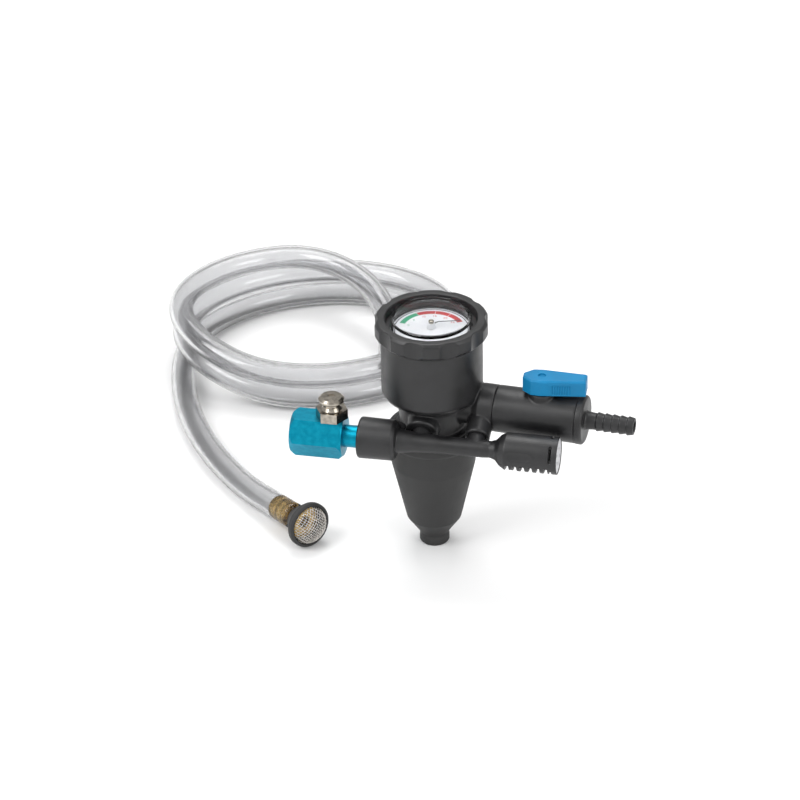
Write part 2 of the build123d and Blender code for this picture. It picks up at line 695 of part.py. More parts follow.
dome_outer = Pos(0, 0, 26.4) * Sphere(11.8)
dome_inner = Pos(0, 0, 26.4) * Sphere(11.2)
parts["strainer_mesh"] = on_strainer((dome_outer - dome_inner) & rod(10.8, 29.0, 50))

# ---- write the parts ----------------------------------------------------------------------
os.makedirs("parts", exist_ok=True)
for name, shape in parts.items():
    export_step(shape, f"parts/{name}.step")
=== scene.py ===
# %% [markdown]
# # A compressed-air vacuum pump with its clear strainer hose
# The tool empties an engine's cooling system through the rubber cone at its foot. Air blown through the
# venturi in front makes the vacuum, the gauge on top shows it, and the ball valve on the right lets new
# coolant in from the clear hose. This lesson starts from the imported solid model, which fixes every size
# and place, and gives each piece its finished surface.

# %% Load the solid model
import math
import bmesh
import bpy
from mathutils import Matrix, Vector


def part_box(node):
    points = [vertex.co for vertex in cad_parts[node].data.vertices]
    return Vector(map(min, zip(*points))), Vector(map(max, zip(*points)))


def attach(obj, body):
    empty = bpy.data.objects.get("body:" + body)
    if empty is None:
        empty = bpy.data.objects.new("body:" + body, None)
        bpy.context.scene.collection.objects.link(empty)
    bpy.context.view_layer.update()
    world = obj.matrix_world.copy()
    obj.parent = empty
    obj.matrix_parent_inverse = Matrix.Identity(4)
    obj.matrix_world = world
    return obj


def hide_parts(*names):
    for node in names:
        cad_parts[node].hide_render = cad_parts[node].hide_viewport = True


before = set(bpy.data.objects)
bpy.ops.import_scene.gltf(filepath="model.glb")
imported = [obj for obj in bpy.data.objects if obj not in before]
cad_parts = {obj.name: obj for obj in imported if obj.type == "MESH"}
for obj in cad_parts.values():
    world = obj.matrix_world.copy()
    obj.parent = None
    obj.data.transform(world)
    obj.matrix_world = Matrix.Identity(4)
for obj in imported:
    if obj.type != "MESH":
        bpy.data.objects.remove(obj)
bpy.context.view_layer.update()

scene = bpy.context.scene
MM = 0.001
print("pieces in the solid model:", len(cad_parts))

# %% [markdown]
# ## The camera
# A long lens, a good step back and to the right, looking down at about thirty degrees, shows the dial as
# an ellipse and still shows the foot. The camera could be placed by hand, but here its place is worked
# out from an aim point, two angles and a distance, so that each of them can be changed alone.

# %% Camera
AIM = Vector((-0.0253, 0.0342, 0.0651))
VIEW_AZIMUTH = math.radians(12.5)
VIEW_ELEVATION = math.radians(31.5)
VIEW_ROLL = math.radians(-1.3)
VIEW_DISTANCE = 1.8
LENS_MM = 148.4

backward = Vector(
    (
        math.sin(VIEW_AZIMUTH) * math.cos(VIEW_ELEVATION),
        -math.cos(VIEW_AZIMUTH) * math.cos(VIEW_ELEVATION),
        math.sin(VIEW_ELEVATION),
    )
)
camera_data = bpy.data.cameras.new("studio_camera")
camera_data.lens = LENS_MM
camera_data.sensor_width = 36
camera_data.clip_start = 0.05
camera = bpy.data.objects.new("studio_camera", camera_data)
scene.collection.objects.link(camera)
upright = backward.to_track_quat("Z", "Y").to_matrix().to_4x4()
lean = Matrix.Rotation(VIEW_ROLL, 4, "Z")
camera.matrix_world = Matrix.Translation(AIM + backward * VIEW_DISTANCE) @ upright @ lean
scene.camera = camera
print("camera at", [round(value, 3) for value in camera.matrix_world.translation])

# %% [markdown]
# ## The hose's route
# The hose is clear vinyl, 14.3 mm thick. It runs from its strainer, lying on the floor, up the left side,
# round more than two loose turns, over the back of them and down inside. One smooth spline carries the
# whole length. The stretches that aren't coiled are listed points, and a loop works out the turns, so
# that the coil stays easy to change. Each turn lies flat until it meets the hose under it at
# the left, climbs over it there, and leans a little further in than the one below.

# %% Route of the hose
HOSE_OUTER = 7.15 * MM
HOSE_INNER = 4.75 * MM
STRAINER_MOUTH = (-0.0750, -0.0107, 0.0120)
TAIL_ROUTE = (
    (-0.0885, 0.0010, 0.0102),
    (-0.1110, 0.0205, 0.0072),
    (-0.1320, 0.0430, 0.0072),
    (-0.1500, 0.0680, 0.0072),
    (-0.1645, 0.0950, 0.0072),
    (-0.1750, 0.1230, 0.0072),
    (-0.1810, 0.1490, 0.0072),
)
END_ROUTE = (
    (-0.1220, 0.2340, 0.0357),
    (-0.1010, 0.2275, 0.0345),
    (-0.0820, 0.2150, 0.0305),
    (-0.0680, 0.1970, 0.0230),
    (-0.0610, 0.1775, 0.0145),
    (-0.0595, 0.1595, 0.0080),
)
COIL_CENTRE = (-0.1070, 0.1820)
COIL_HALF_LENGTH = 0.0810
COIL_HALF_WIDTH = 0.0630
COIL_TURN = math.radians(20)
COIL_START_DEG = 170
COIL_SWEEP_DEG = 798
STEPS_PER_TURN = 15
CLIMBS_DEG = ((272, 340), (636, 706))  # where the hose climbs over the turn below
LEAN_SPAN_DEG = (650, 770)
TIGHT_SPAN_DEG = (30, 110)  # the first stretch is a little tighter
TIGHT_BY = 0.004
FLOOR_LEVEL = 0.0072
LAYER = 0.0143
LEAN_IN = (0.013, 0.006)
TOP_TURN_NARROWER = (0.012, 0.003)


def ease(value, start, stop):
    """Climbs smoothly from 0 to 1 between start and stop."""
    share = min(1.0, max(0.0, (value - start) / (stop - start)))
    return share * share * (3 - 2 * share)


def coil_point(turned_deg):
    """A point of the loose coil, after so many degrees of winding clockwise."""
    angle = math.radians(COIL_START_DEG - turned_deg)
    inward = ease(turned_deg, *LEAN_SPAN_DEG)
    tight = TIGHT_BY * (1 - ease(turned_deg, *TIGHT_SPAN_DEG))
    along = (COIL_HALF_LENGTH - tight - TOP_TURN_NARROWER[0] * inward) * math.cos(angle)
    across = (COIL_HALF_WIDTH - tight - TOP_TURN_NARROWER[1] * inward) * math.sin(angle)
    x = COIL_CENTRE[0] + along * math.cos(COIL_TURN) - across * math.sin(COIL_TURN)
    y = COIL_CENTRE[1] + along * math.sin(COIL_TURN) + across * math.cos(COIL_TURN)
    layers = sum(ease(turned_deg, *span) for span in CLIMBS_DEG)
    return (x - LEAN_IN[0] * inward, y - LEAN_IN[1] * inward, FLOOR_LEVEL + LAYER * layers)


coil_steps = round(COIL_SWEEP_DEG / 360 * STEPS_PER_TURN)
coil_points = [coil_point(step * COIL_SWEEP_DEG / coil_steps) for step in range(coil_steps + 1)]
route = [STRAINER_MOUTH] + list(TAIL_ROUTE) + coil_points + list(END_ROUTE)
route.reverse()
print("route points:", len(route))

# %% [markdown]
# ## From route to smooth line
# A NURBS spline uses the route's points as control points, so its bends stay round. A curve object can
# carry a round bevel, but a hose with a bore needs an inner wall too. So the spline is turned into a
# plain line of vertices first, and the walls are built round that line.

# %% Smooth line of the hose
def smooth_line(points, name, steps=10):
    """Vertices along the NURBS spline that has these points, in metres."""
    curve = bpy.data.curves.new(name, "CURVE")
    curve.dimensions = "3D"
    spline = curve.splines.new("NURBS")
    spline.points.add(len(points) - 1)
    for control, place in zip(spline.points, points):
        control.co = (*place, 1)
    spline.order_u = 3
    spline.use_endpoint_u = True
    spline.resolution_u = steps
    holder = bpy.data.objects.new(name, curve)
    scene.collection.objects.link(holder)
    line = bpy.data.meshes.new_from_object(holder.evaluated_get(bpy.context.evaluated_depsgraph_get()))
    vertices = [vertex.co.copy() for vertex in line.vertices]
    bpy.data.objects.remove(holder)
    bpy.data.meshes.remove(line)
    return vertices


hose_line = smooth_line(route, "hose_line")

# %% [markdown]
# ## Rings carried along a line
# A tube is a row of rings. Each ring has to face along the line, and must not spin round it from one
# ring to the next, or the wall twists. Carrying one side direction along and squaring it up again at
# each point keeps the rings in step. Over the strainer's barb the bore is drawn slightly smaller than
# the brass, so that the vinyl grips it and no air gap shows between the two.

# %% Tube builder
def make_object(name, mesh):
    """Links a mesh to the scene as a smooth-shaded object."""
    piece = bpy.data.objects.new(name, mesh)
    scene.collection.objects.link(piece)
    for polygon in mesh.polygons:
        polygon.use_smooth = True
    return piece


def add_tube(shape, line, radii, sides, closed_ends=True):
    """Adds rings of vertices along a line to a bmesh. radii holds one radius or one for each point."""
    if isinstance(radii, float):
        radii = [radii] * len(line)
    ahead = (line[1] - line[0]).normalized()
    side = ahead.orthogonal().normalized()
    rings = []
    for number, place in enumerate(line):
        before = line[max(0, number - 1)]
        after = line[min(len(line) - 1, number + 1)]
        ahead = (after - before).normalized()
        side = (side - ahead * side.dot(ahead)).normalized()
        up = ahead.cross(side)
        ring = []
        for step in range(sides):
            angle = 2 * math.pi * step / sides
            offset = side * math.cos(angle) + up * math.sin(angle)
            ring.append(shape.verts.new(place + offset * radii[number]))
        rings.append(ring)
    for first, second in zip(rings, rings[1:]):
        for step in range(sides):
            following = (step + 1) % sides
            shape.faces.new((first[step], first[following], second[following], second[step]))
    if closed_ends:
        shape.faces.new(list(reversed(rings[0])))
        shape.faces.new(rings[-1])
    return rings


def hose_mesh(line, outer, inner, sides):
    """A hose with a bore: outer wall, inner wall and a flat ring at each cut end."""
    shape = bmesh.new()
    outside = add_tube(shape, line, outer, sides, closed_ends=False)
    inside = add_tube(shape, line, inner, sides, closed_ends=False)
    for ring, bore in ((outside[0], inside[0]), (outside[-1], inside[-1])):
        for step in range(sides):
            following = (step + 1) % sides
            shape.faces.new((ring[step], ring[following], bore[following], bore[step]))
    bmesh.ops.recalc_face_normals(shape, faces=shape.faces[:])
    mesh = bpy.data.meshes.new("clear_hose")
    shape.to_mesh(mesh)
    shape.free()
    return mesh


GRIP_LENGTH = 0.018  # how much of the hose sits over the strainer's barb
GRIP_BORE = 0.0042
bores = []
for place in hose_line:
    gripped = (place - Vector(STRAINER_MOUTH)).length < GRIP_LENGTH
    bores.append(GRIP_BORE if gripped else HOSE_INNER)
HOSE_SIDES = 40
clear_hose = make_object("clear_hose", hose_mesh(hose_line, HOSE_OUTER, bores, HOSE_SIDES))
print("hose rings over the barb:", bores.count(GRIP_BORE))
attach(clear_hose, "tool")
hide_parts("hose_coil", "hose_tail", "hose_end", "hose_cuff")
print("hose faces:", len(clear_hose.data.polygons))

# %% [markdown]
# ## Floor and light
# A pale seamless floor and large soft lights suit black plastic and clear vinyl: wide highlights show
# the form, and there is something bright for the hose to bend into view. Small hard lamps would only
# give sparkles. The surroundings are white in front and greyer behind, so metal and glass
# have something dark to mirror too.

# %% Floor and lights
floor_mesh = bpy.data.meshes.new("studio_floor")
FLOOR_HALF = 6.0
floor_corners = [(x * FLOOR_HALF, y * FLOOR_HALF, 0) for x, y in ((-1, -1), (1, -1), (1, 1), (-1, 1))]
floor_mesh.from_pydata(floor_corners, [], [(0, 1, 2, 3)])
floor = bpy.data.objects.new("studio_floor", floor_mesh)
scene.collection.objects.link(floor)

world = bpy.data.worlds.new("studio_world")
scene.world = world
world.use_nodes = True
SKY_STRENGTH = 0.88
FADE_STOPS_AT = 0.8  # how far round towards the back the greying is complete
BACK_SHARE = 0.6
sky = world.node_tree.nodes["Background"]
sky.inputs["Strength"].default_value = SKY_STRENGTH
facing = world.node_tree.nodes.new("ShaderNodeTexCoord")
split = world.node_tree.nodes.new("ShaderNodeSeparateXYZ")
fade = world.node_tree.nodes.new("ShaderNodeMapRange")
fade.inputs["From Min"].default_value = 0.0
fade.inputs["From Max"].default_value = FADE_STOPS_AT
fade.inputs["To Min"].default_value = 1.0
fade.inputs["To Max"].default_value = BACK_SHARE
world.node_tree.links.new(facing.outputs["Generated"], split.inputs["Vector"])
world.node_tree.links.new(split.outputs["Y"], fade.inputs["Value"])
world.node_tree.links.new(fade.outputs["Result"], sky.inputs["Color"])


def soft_light(name, place, aim, size, power):
    """A square area light that faces a point."""
    lamp = bpy.data.lights.new(name, "AREA")
    lamp.size = size
    lamp.energy = power
    holder = bpy.data.objects.new(name, lamp)
    scene.collection.objects.link(holder)
    holder.location = place
    holder.rotation_euler = (Vector(aim) - Vector(place)).to_track_quat("-Z", "Y").to_euler()
    return holder


LIGHT_AIM = (-0.03, 0.03, 0.06)
soft_light("key_light", (-0.9, -0.7, 1.3), LIGHT_AIM, 0.9, 16)
soft_light("fill_light", (1.2, -0.6, 0.9), LIGHT_AIM, 0.8, 7)
soft_light("back_light", (-0.2, 0.8, 1.7), LIGHT_AIM, 1.0, 16)
scene.view_settings.view_transform = "Standard"

# %% [markdown]
# ## A bench of finish helpers
# Every finish below starts as a Principled shader. Its steady values are typed on the shader itself, and
# only what varies over the surface comes through nodes: a mottled colour, a roughness that changes from
# place to place, and a fine bump. Noise in object space needs no unwrapped surface and keeps its scale.

# %% Finish helpers
def new_finish(name, colour, roughness, **steady):
    """A material with a Principled shader. Returns the material, its nodes, its links and the shader."""
    finish = bpy.data.materials.new(name)
    finish.use_nodes = True
    nodes = finish.node_tree.nodes
    shader = nodes["Principled BSDF"]
    shader.inputs["Base Color"].default_value = (*colour, 1)
    shader.inputs["Roughness"].default_value = roughness
    for socket, value in steady.items():
        shader.inputs[socket.replace("_", " ")].default_value = value
    return finish, nodes, finish.node_tree.links, shader


def add_noise(nodes, links, scale, detail=4.0, stretch=(1, 1, 1)):
    """Noise over the object's own coordinates, in metres."""
    place = nodes.new("ShaderNodeTexCoord")
    mapping = nodes.new("ShaderNodeMapping")
    mapping.inputs["Scale"].default_value = stretch
    noise = nodes.new("ShaderNodeTexNoise")
    noise.inputs["Scale"].default_value = scale
    noise.inputs["Detail"].default_value = detail
    links.new(place.outputs["Object"], mapping.inputs["Vector"])
    links.new(mapping.outputs["Vector"], noise.inputs["Vector"])
    return noise


def add_range(nodes, links, source, low, high, start=0.3, stop=0.7):
    """Carries a noise value onto a range of numbers."""
    span = nodes.new("ShaderNodeMapRange")
    span.inputs["From Min"].default_value = start
    span.inputs["From Max"].default_value = stop
    span.inputs["To Min"].default_value = low
    span.inputs["To Max"].default_value = high
    links.new(source, span.inputs["Value"])
    return span.outputs["Result"]


def add_colours(nodes, links, source, first, second, start=0.35, stop=0.65):
    """Two colours mixed by a noise value."""
    ramp = nodes.new("ShaderNodeValToRGB")
    ramp.color_ramp.elements[0].position = start
    ramp.color_ramp.elements[1].position = stop
    ramp.color_ramp.elements[0].color = (*first, 1)
    ramp.color_ramp.elements[1].color = (*second, 1)
    links.new(source, ramp.inputs["Fac"])
    return ramp.outputs["Color"]


def add_bump(nodes, links, shader, source, strength, depth):
    """Fine relief from a noise value."""
    bump = nodes.new("ShaderNodeBump")
    bump.inputs["Strength"].default_value = strength
    bump.inputs["Distance"].default_value = depth
    links.new(source, bump.inputs["Height"])
    links.new(bump.outputs["Normal"], shader.inputs["Normal"])
    return bump


PLASTIC_DRIFT = 90
PLASTIC_GRAIN_STRENGTH = 0.35


def mottled_finish(name, dark, light, rough_low, rough_high, grain_scale, grain_depth, **steady):
    """A finish whose colour and roughness drift slowly and whose surface has a fine grain."""
    finish, nodes, links, shader = new_finish(name, light, rough_high, **steady)
    drift = add_noise(nodes, links, PLASTIC_DRIFT)
    colour = add_colours(nodes, links, drift.outputs["Fac"], dark, light)
    links.new(colour, shader.inputs["Base Color"])
    roughness = add_range(nodes, links, drift.outputs["Fac"], rough_low, rough_high)
    links.new(roughness, shader.inputs["Roughness"])
    grain = add_noise(nodes, links, grain_scale, 2.0)
    add_bump(nodes, links, shader, grain.outputs["Fac"], PLASTIC_GRAIN_STRENGTH, grain_depth)
    return finish


def paint(node, finish):
    """Gives a piece of the solid model its finish."""
    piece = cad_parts[node]
    piece.data.materials.clear()
    piece.data.materials.append(finish)


print("finish helpers ready")

# %% [markdown]
# ## Plastics and rubber
# The black body is glass-filled nylon: nearly black, satin, with a fine even grain from the mould and
# slightly duller patches. The cone is rubber, softer and more matt. The lever is a cleaner, glossier
# plastic with a weak sheen, so its specular level is turned down. They share one recipe and differ in
# colour, grain and roughness.

# %% Plastic and rubber finishes
PLASTICS = {  # dark colour, light colour, lowest and highest roughness, grain scale, grain depth in metres
    "black_nylon": ((0.0060, 0.0060, 0.0065), (0.0125, 0.0125, 0.0135), 0.34, 0.50, 1800, 0.00006),
    "black_rubber": ((0.013, 0.013, 0.013), (0.021, 0.021, 0.021), 0.50, 0.66, 1200, 0.00005),
    "seal_rubber": ((0.012, 0.012, 0.012), (0.020, 0.020, 0.020), 0.35, 0.50, 2500, 0.00003),
    "blue_plastic": ((0.000, 0.150, 0.320), (0.000, 0.175, 0.370), 0.42, 0.54, 2200, 0.00003),
    "white_nylon": ((0.62, 0.61, 0.56), (0.70, 0.69, 0.65), 0.40, 0.55, 1500, 0.00003),
    "dial_white": ((0.78, 0.79, 0.82), (0.84, 0.85, 0.87), 0.45, 0.60, 1500, 0.00001),
    "dial_green": ((0.010, 0.300, 0.140), (0.020, 0.360, 0.180), 0.45, 0.60, 1500, 0.00001),
    "dial_red": ((0.480, 0.020, 0.025), (0.560, 0.030, 0.035), 0.45, 0.60, 1500, 0.00001),
    "dial_black": ((0.010, 0.010, 0.014), (0.016, 0.016, 0.022), 0.35, 0.50, 1500, 0.00001),
    "grey_plastic": ((0.44, 0.44, 0.46), (0.54, 0.54, 0.56), 0.40, 0.55, 1500, 0.00004),
    "grey_felt": ((0.12, 0.12, 0.12), (0.30, 0.30, 0.29), 0.85, 1.00, 3200, 0.00040),
}
finishes = {name: mottled_finish(name, *values) for name, values in PLASTICS.items()}
LEVER_SHEEN = 0.3
lever_shader = finishes["blue_plastic"].node_tree.nodes["Principled BSDF"]
lever_shader.inputs["Specular IOR Level"].default_value = LEVER_SHEEN
print("plastic and rubber finishes:", len(finishes))

# %% [markdown]
# ## Metals
# Brass has a fine even grain, nickel plate is smooth with a warm tint, and the anodised coupler is
# coloured aluminium with a faint milling grain along its flats. Metal has no colour under
# its shine, so the base colour is the colour of its reflection.

# %% Metal finishes
METAL_DRIFT = 420
METAL_GRAIN_STRENGTH = 0.3
METAL_GRAIN_DEPTH = 0.00003


def metal_finish(name, dark, light, rough_low, rough_high, stretch, grain_scale=1500):
    """A metal with a grain drawn out along one axis."""
    finish, nodes, links, shader = new_finish(name, light, rough_high, Metallic=1.0)
    drift = add_noise(nodes, links, METAL_DRIFT)
    colour = add_colours(nodes, links, drift.outputs["Fac"], dark, light)
    links.new(colour, shader.inputs["Base Color"])
    grain = add_noise(nodes, links, grain_scale, 3.0, stretch)
    roughness = add_range(nodes, links, grain.outputs["Fac"], rough_low, rough_high)
    links.new(roughness, shader.inputs["Roughness"])
    add_bump(nodes, links, shader, grain.outputs["Fac"], METAL_GRAIN_STRENGTH, METAL_GRAIN_DEPTH)
    return finish


METALS = {  # dark colour, light colour, lowest and highest roughness, stretch of the grain
    "brass": ((0.46, 0.30, 0.10), (0.66, 0.47, 0.19), 0.18, 0.34, (1, 1, 1)),
    "nickel": ((0.26, 0.235, 0.20), (0.42, 0.385, 0.33), 0.12, 0.24, (1, 1, 0.2)),
    "gauge_silver": ((0.62, 0.62, 0.63), (0.78, 0.78, 0.79), 0.12, 0.24, (1, 1, 6)),
    "blue_anodised": ((0.004, 0.215, 0.330), (0.007, 0.275, 0.400), 0.30, 0.44, (0.1, 1, 1)),
    "spring_steel": ((0.40, 0.40, 0.40), (0.55, 0.55, 0.55), 0.20, 0.35, (1, 1, 1)),
    "steel_mesh": ((0.52, 0.50, 0.47), (0.74, 0.71, 0.68), 0.22, 0.38, (1, 1, 1)),
}
for name, values in METALS.items():
    finishes[name] = metal_finish(name, *values)
print("metal finishes:", len(METALS))

# %% [markdown]
# ## Clear vinyl and the lens
# Vinyl hose lets most light through and bends it, so its edges look grey and its middle looks clear. A
# shader that only fades the surface out would lose that. Here light passes through both walls of the
# real tube, with the refraction of vinyl, and a faint haze keeps it from looking like glass.

# %% Clear finishes
clear_vinyl, nodes, links, shader = new_finish(
    "clear_vinyl", (0.77, 0.772, 0.78), 0.12, Transmission_Weight=1.0, IOR=1.45
)
haze = add_noise(nodes, links, 60)
links.new(add_range(nodes, links, haze.outputs["Fac"], 0.08, 0.18), shader.inputs["Roughness"])
clear_hose.data.materials.append(clear_vinyl)
lens_clear, nodes, links, shader = new_finish(
    "lens_clear", (0.95, 0.955, 0.96), 0.03, Transmission_Weight=1.0, IOR=1.25
)
wear = add_noise(nodes, links, 400)
links.new(add_range(nodes, links, wear.outputs["Fac"], 0.02, 0.07), shader.inputs["Roughness"])
finishes["clear_vinyl"] = clear_vinyl
finishes["lens_clear"] = lens_clear
print("clear finishes ready")

# %% [markdown]
# ## Moulded pieces
# A solid model has knife edges where two shapes meet. A moulding has small rounded corners everywhere.
# Bevelling every edge by hand is slow where cones and cylinders run into each other, so the surface is
# rebuilt on a fine grid and relaxed a little, which rounds inner and outer corners alike.

# %% Moulded pieces
def finished_copy(rough, name, finish):
    """Applies an object's modifiers to a new object and takes the rough one away."""
    bpy.context.view_layer.update()
    solid = rough.evaluated_get(bpy.context.evaluated_depsgraph_get())
    mesh = bpy.data.meshes.new_from_object(solid)
    bpy.data.objects.remove(rough)
    mesh.materials.clear()
    mesh.materials.append(finish)
    return make_object(name, mesh)


def moulded(node, body, slot, voxel_mm, relax, keep_share):
    """A rounded copy of a solid, rebuilt on a fine grid, relaxed and thinned out."""
    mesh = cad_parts[node].data.copy()
    shape = bmesh.new()
    shape.from_mesh(mesh)
    bmesh.ops.remove_doubles(shape, verts=shape.verts[:], dist=0.000001)
    shape.to_mesh(mesh)
    shape.free()
    rough = bpy.data.objects.new(node + "_grid", mesh)
    scene.collection.objects.link(rough)
    grid = rough.modifiers.new("grid", "REMESH")
    grid.mode = "VOXEL"
    grid.voxel_size = voxel_mm * MM
    soften = rough.modifiers.new("soften", "SMOOTH")
    soften.factor = 0.5
    soften.iterations = relax
    thin = rough.modifiers.new("thin", "DECIMATE")
    thin.ratio = keep_share
    piece = finished_copy(rough, node + "_moulded", finishes[slot])
    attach(piece, body)
    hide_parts(node)
    print(node, "faces:", len(piece.data.polygons))
    return piece


MOULDINGS = {  # body, finish, grid step in millimetres, rounds of smoothing, share of faces kept
    "manifold": ("tool", "black_nylon", 0.45, 6, 0.3),
    "venturi_body": ("tool", "black_nylon", 0.32, 4, 0.35),
    "valve_body": ("tool", "black_nylon", 0.4, 4, 0.3),
    "barb_bonnet": ("tool", "black_nylon", 0.3, 3, 0.4),
    "lock_ring": ("tool", "black_nylon", 0.35, 6, 0.35),
    "cone_adapter": ("tool", "black_rubber", 0.45, 4, 0.3),
    "port_plug": ("tool", "black_nylon", 0.25, 2, 0.4),
    "lever": ("lever", "blue_plastic", 0.22, 3, 0.4),
    "strainer_ring": ("tool", "black_rubber", 0.3, 3, 0.4),
}
mouldings = {node: moulded(node, *values) for node, values in MOULDINGS.items()}

# %% [markdown]
# ## The strainer's woven dome
# The strainer is a dome of woven wire that keeps grit out of the hose. An image with holes in it would
# look right only from afar. Real wires are not hard to make: each one is a narrow tube that follows the
# dome along one direction, and dips under and over the wires that cross it, so the weave is a cosine
# with its phase turned over from one wire to the next.

# %% Woven dome
DOME_CENTRE_MM = 26.4
DOME_RADIUS_MM = 11.45
DOME_RIM_MM = 10.5
WIRE_PITCH_MM = 1.3
WIRE_RADIUS_MM = 0.2
WEAVE_DEPTH_MM = 0.19
SAMPLES_PER_CELL = 3
WIRE_SIDES = 5

hose_end_place = Vector(TAIL_ROUTE[0])
outward = (hose_end_place - Vector(TAIL_ROUTE[1])).normalized()
across = outward.cross(Vector((0, 0, 1))).normalized()
raised = across.cross(outward)
first_way = (across + raised).normalized()
second_way = (across - raised).normalized()


def dome_place(u, v, lift):
    """A point of the dome, u and v millimetres along the two sets of wires."""
    height = math.sqrt(DOME_RADIUS_MM**2 - u * u - v * v) + lift + DOME_CENTRE_MM
    return hose_end_place + (first_way * u + second_way * v + outward * height) * MM


dome_shape = bmesh.new()
wires_each_side = int(DOME_RIM_MM / WIRE_PITCH_MM)
for number in range(-wires_each_side, wires_each_side + 1):
    offset = number * WIRE_PITCH_MM
    reach = math.sqrt(DOME_RIM_MM**2 - offset * offset)
    count = max(4, int(2 * reach / WIRE_PITCH_MM * SAMPLES_PER_CELL))
    for way in (0, 1):
        wire = []
        for step in range(count + 1):
            along = -reach + 2 * reach * step / count
            phase = math.pi * (along / WIRE_PITCH_MM + number + way)
            lift = WEAVE_DEPTH_MM * math.cos(phase)
            u, v = (offset, along) if way == 0 else (along, offset)
            wire.append(dome_place(u, v, lift))
        add_tube(dome_shape, wire, WIRE_RADIUS_MM * MM, WIRE_SIDES)
bmesh.ops.recalc_face_normals(dome_shape, faces=dome_shape.faces[:])
dome_mesh = bpy.data.meshes.new("woven_dome")
dome_shape.to_mesh(dome_mesh)
dome_shape.free()
dome_mesh.materials.append(finishes["steel_mesh"])
woven_dome = make_object("woven_dome", dome_mesh)
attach(woven_dome, "tool")
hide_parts("strainer_mesh")
print("woven dome faces:", len(dome_mesh.polygons))

# %% [markdown]
# The hose isn't fastened to the tool: one end is bare and lies inside the coil, and the other is pushed
# over the strainer's brass barb.

# %% [markdown]
# ## The dial
# The dial is printed on white: a green arc for a weak vacuum, a red one for a strong vacuum, a thin black
# border and small numbers. Printing has no thickness to speak of, and a picture could carry it, but here
# each colour is its own very thin shape lying on the dial, which stays sharp at any distance.

# %% Printed scale
dial_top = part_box("dial_face")[1][2]
INK = 0.03 * MM
ARC_INNER = 14.6 * MM
ARC_OUTER = 17.6 * MM
BORDER_INNER = 19.1 * MM
BORDER_OUTER = 19.6 * MM
ARC_LEFT_DEG = 173.0
ARC_CHANGE_DEG = 127.7
ARC_RIGHT_DEG = 31.0
TICK_DEG = 0.9
SECTOR_STEP_DEG = 3


def sector(shape, inner, outer, start_deg, stop_deg, low, high):
    """A thin slice of a ring, with straight ends."""
    steps = max(2, int(abs(stop_deg - start_deg) / SECTOR_STEP_DEG))
    columns = []
    for step in range(steps + 1):
        angle = math.radians(start_deg + (stop_deg - start_deg) * step / steps)
        facing = Vector((math.cos(angle), math.sin(angle), 0))
        corners = [(inner, low), (outer, low), (outer, high), (inner, high)]
        columns.append([shape.verts.new(facing * radius + Vector((0, 0, z))) for radius, z in corners])
    for first, second in zip(columns, columns[1:]):
        for side in range(4):
            following = (side + 1) % 4
            shape.faces.new((first[side], first[following], second[following], second[side]))
    shape.faces.new(columns[0])
    shape.faces.new(list(reversed(columns[-1])))


def dial_print(name, finish, slices):
    """Several slices of one colour as one piece of the tool."""
    shape = bmesh.new()
    for inner, outer, start_deg, stop_deg in slices:
        sector(shape, inner, outer, start_deg, stop_deg, dial_top, dial_top + INK)
    bmesh.ops.recalc_face_normals(shape, faces=shape.faces[:])
    mesh = bpy.data.meshes.new(name)
    shape.to_mesh(mesh)
    shape.free()
    mesh.materials.append(finish)
    piece = bpy.data.objects.new(name, mesh)
    scene.collection.objects.link(piece)
    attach(piece, "tool")
    return piece


NUMBER_COUNT = 6
NUMBER_START_DEG = ARC_LEFT_DEG + 4
NUMBER_STEP_DEG = 28.0
number_angles = [NUMBER_START_DEG - NUMBER_STEP_DEG * step for step in range(NUMBER_COUNT)]
border_halves = [(BORDER_INNER, BORDER_OUTER, start, start + 180) for start in (0, 180)]
dial_print("dial_border", finishes["dial_black"], border_halves)
green_slice = (ARC_INNER, ARC_OUTER, ARC_CHANGE_DEG + TICK_DEG, ARC_LEFT_DEG)
dial_print("dial_green_arc", finishes["dial_green"], [green_slice])
red_cuts = [ARC_CHANGE_DEG, number_angles[3], number_angles[4], ARC_RIGHT_DEG]
red_slices = []
for first, second in zip(red_cuts, red_cuts[1:]):
    red_slices.append((ARC_INNER, ARC_OUTER, second + TICK_DEG, first))
dial_print("dial_red_arc", finishes["dial_red"], red_slices)
print("scale spans degrees:", ARC_LEFT_DEG - ARC_RIGHT_DEG)

# %% [markdown]
# ## The numbers
# Small numbers stand under the arcs. A text object gives them from the font that comes with the program;
# it is turned into a mesh at once, so that the dial needs no font afterwards. They are generic values.

# %% Numbers on the dial
NUMBER_RADIUS = 12.4 * MM
NUMBER_SIZE = 2.3 * MM
READ_FROM = VIEW_AZIMUTH


def dial_number(value, angle_deg, finish):
    """One number on the dial, upright for a reader in front of the tool."""
    text = bpy.data.curves.new(f"number_{value}", "FONT")
    text.body = str(value)
    text.size = NUMBER_SIZE
    text.align_x = "CENTER"
    text.align_y = "CENTER"
    text.extrude = INK / 2
    holder = bpy.data.objects.new(f"number_{value}", text)
    scene.collection.objects.link(holder)
    angle = math.radians(angle_deg)
    place = Vector((math.cos(angle) * NUMBER_RADIUS, math.sin(angle) * NUMBER_RADIUS, dial_top + INK / 2))
    bpy.context.view_layer.update()
    mesh = bpy.data.meshes.new_from_object(holder.evaluated_get(bpy.context.evaluated_depsgraph_get()))
    bpy.data.objects.remove(holder)
    mesh.transform(Matrix.Translation(place) @ Matrix.Rotation(READ_FROM, 4, "Z"))
    mesh.materials.clear()
    mesh.materials.append(finish)
    piece = bpy.data.objects.new(f"dial_number_{value}", mesh)
    scene.collection.objects.link(piece)
    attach(piece, "tool")
    return piece


